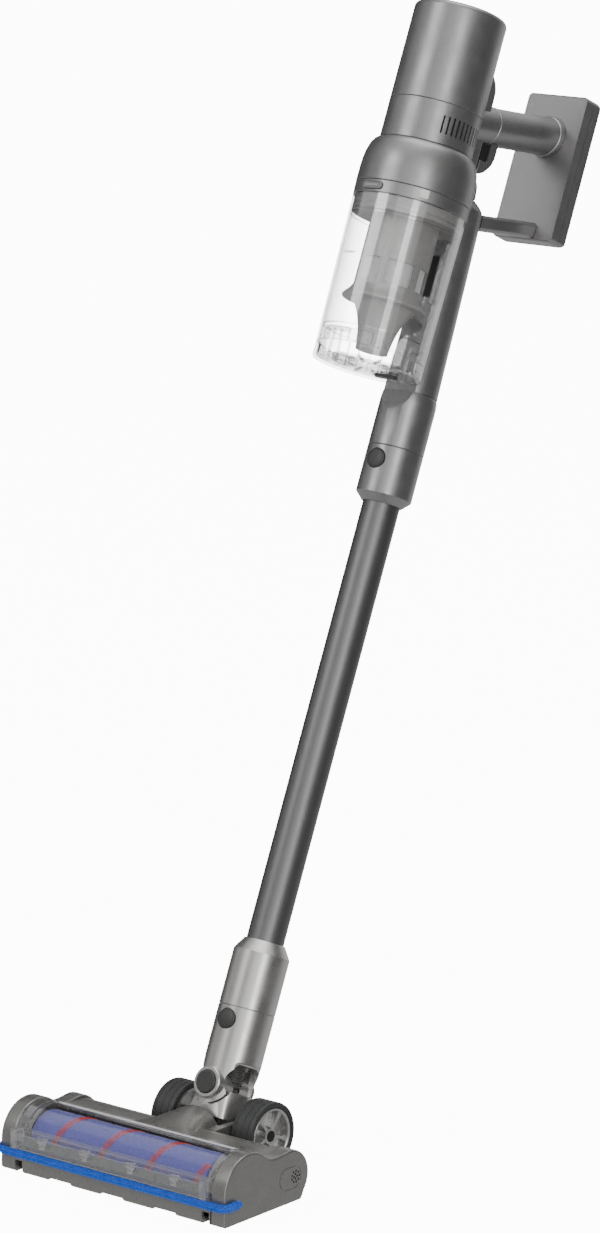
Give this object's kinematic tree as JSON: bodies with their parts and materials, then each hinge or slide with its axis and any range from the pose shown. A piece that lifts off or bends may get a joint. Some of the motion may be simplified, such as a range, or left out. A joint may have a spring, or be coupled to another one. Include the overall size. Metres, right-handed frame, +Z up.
{
  "type": "cordless stick vacuum",
  "caption": "Cordless stick vacuum: handheld with clear dust bin and round grip, straight wand, swivel neck and wide floor head with a soft roller behind a clear window.",
  "frame": {"origin": "on the floor, under the middle of the whole object as it leans", "axes": "+X to the right seen from the front, -Y towards the front of the floor head, +Z up; the wand leans back towards +Y"},
  "size_m": [0.2768, 0.6728, 1.0265],
  "materials": {
    "shell": "satin metallic grey paint",
    "satin": "brushed metallic grey paint",
    "head": "satin warm grey",
    "tube": "anodised grey, glossy",
    "button": "fine matt dark grey",
    "screen": "black gloss",
    "steel": "brushed",
    "motor": "pressed can",
    "metal": "machined",
    "silver": "silver",
    "filter": "pleated fleece",
    "cell": "shrink wrap",
    "board": "circuit board",
    "clear": "clear polycarbonate",
    "mesh": "perforated sheet",
    "rubber": "matt",
    "tyre": "matt",
    "pile": "short soft pile with red bristle rows",
    "plush": "bright blue plush"
  },
  "bodies": {
    "handheld": {"motor_cover": "shell", "vent_housing": "shell", "shoulder_housing": "shell", "top_screen": "screen", "fan_motor": "motor", "post_filter": "filter", "rear_block": "shell", "handle_grip": "shell", "lower_strut": "shell", "battery_front": "shell", "battery_back": "shell", "cell_1": "cell", "cell_2": "cell", "cell_3": "cell", "cell_4": "cell", "cell_5": "cell", "cell_6": "cell", "battery_board": "board", "spine_duct": "shell", "nozzle_collar": "shell"},
    "impeller": {"impeller": "metal"},
    "power_button": {"power_button": "button"},
    "trigger": {"trigger": "shell"},
    "dust_bin": {"bin_ring": "shell", "bin_cup": "clear", "cyclone_shroud": "shell", "shroud_mesh": "mesh"},
    "bin_button": {"bin_button": "shell"},
    "bin_lid": {"bin_lid": "clear"},
    "lid_latch": {"lid_latch": "button"},
    "wand": {"wand_top_collar": "shell", "wand_tube": "tube", "wand_bottom_collar": "satin"},
    "wand_button": {"wand_button": "button"},
    "neck": {"neck_sleeve": "satin", "pivot_pin_front": "button", "pivot_pin_rear": "steel", "neck_hose": "rubber"},
    "neck_button": {"neck_button": "button"},
    "yoke": {"neck_yoke": "satin"},
    "head": {"head_shell": "head", "sole_plate": "head", "side_cap_left": "head", "side_cap_right": "head", "roller_window": "clear", "lens_bar": "clear", "led_board": "board", "bumper_strip": "plush", "brush_motor": "motor", "drive_belt": "rubber", "wheel_axle": "steel"},
    "brush_roller": {"brush_core": "button", "brush_pile": "pile"},
    "motor_pulley": {"motor_pulley": "metal"},
    "wheel_left": {"wheel_left": "silver", "tyre_left": "tyre"},
    "wheel_right": {"wheel_right": "silver", "tyre_right": "tyre"},
    "front_roller_left": {"front_roller_left": "rubber"},
    "front_roller_right": {"front_roller_right": "rubber"}
  },
  "joints": [
    {"name": "impeller_spin", "type": "hinge", "parent": "handheld", "child": "impeller", "pos_m": [0, 0.10926, 0.88092], "axis": [0, 0.4035, 0.915], "continuous": true},
    {"name": "power_press", "type": "slide", "parent": "handheld", "child": "power_button", "axis": [0, -0.4035, -0.915], "range_m": [0, 0.001], "stiffness_N_per_m": 800, "springref_m": -0.001},
    {"name": "trigger_pull", "type": "hinge", "parent": "handheld", "child": "trigger", "pos_m": [0, 0.20354, 0.88033], "axis": [1, 0, 0], "range_deg": [0, 12], "stiffness_Nm_per_rad": 0.3, "springref_deg": -5.73},
    {"name": "bin_release", "type": "slide", "parent": "handheld", "child": "dust_bin", "axis": [0, -0.915, 0.4035], "range_m": [0, 0.12]},
    {"name": "bin_button_press", "type": "slide", "parent": "dust_bin", "child": "bin_button", "axis": [0.1045, 0.9099, -0.4013], "range_m": [0, 0.0015], "stiffness_N_per_m": 800, "springref_m": -0.001},
    {"name": "lid_open", "type": "hinge", "parent": "dust_bin", "child": "bin_lid", "pos_m": [0, -0.01045, 0.74082], "axis": [-1, 0, 0], "range_deg": [0, 90]},
    {"name": "latch_slide", "type": "slide", "parent": "bin_lid", "child": "lid_latch", "axis": [0, -0.915, 0.4035], "range_m": [0, 0.004], "stiffness_N_per_m": 600, "springref_m": -0.001},
    {"name": "wand_pull", "type": "slide", "parent": "handheld", "child": "wand", "axis": [0, -0.4035, -0.915], "range_m": [0, 0.06]},
    {"name": "wand_button_press", "type": "slide", "parent": "wand", "child": "wand_button", "axis": [0, 0.915, -0.4035], "range_m": [0, 0.0015], "stiffness_N_per_m": 800, "springref_m": -0.001},
    {"name": "head_pull", "type": "slide", "parent": "wand", "child": "neck", "axis": [0, -0.4035, -0.915], "range_m": [0, 0.05]},
    {"name": "neck_button_press", "type": "slide", "parent": "neck", "child": "neck_button", "axis": [0, 0.915, -0.4035], "range_m": [0, 0.0015], "stiffness_N_per_m": 800, "springref_m": -0.001},
    {"name": "neck_swivel", "type": "hinge", "parent": "neck", "child": "yoke", "pos_m": [0, -0.17145, 0.0648], "axis": [0, 0.915, -0.4035], "range_deg": [-35, 35], "deforming": ["neck_hose"]},
    {"name": "neck_pitch", "type": "hinge", "parent": "yoke", "child": "head", "pos_m": [0, -0.17745, 0.0315], "axis": [1, 0, 0], "range_deg": [0, 58]},
    {"name": "brush_spin", "type": "hinge", "parent": "head", "child": "brush_roller", "pos_m": [0, -0.29585, 0.0276], "axis": [1, 0, 0], "continuous": true},
    {"name": "motor_spin", "type": "hinge", "parent": "head", "child": "motor_pulley", "pos_m": [0, -0.23845, 0.025], "axis": [1, 0, 0], "continuous": true},
    {"name": "wheel_left_spin", "type": "hinge", "parent": "head", "child": "wheel_left", "pos_m": [-0.048, -0.17745, 0.0315], "axis": [1, 0, 0], "continuous": true},
    {"name": "wheel_right_spin", "type": "hinge", "parent": "head", "child": "wheel_right", "pos_m": [0.048, -0.17745, 0.0315], "axis": [1, 0, 0], "continuous": true},
    {"name": "front_roller_left_spin", "type": "hinge", "parent": "head", "child": "front_roller_left", "pos_m": [-0.1105, -0.31795, 0.0062], "axis": [1, 0, 0], "continuous": true},
    {"name": "front_roller_right_spin", "type": "hinge", "parent": "head", "child": "front_roller_right", "pos_m": [0.1105, -0.31795, 0.0062], "axis": [1, 0, 0], "continuous": true}
  ],
  "couplings": [
    {"joint": "motor_spin", "follows": "brush_spin", "ratio": 2}
  ]
}
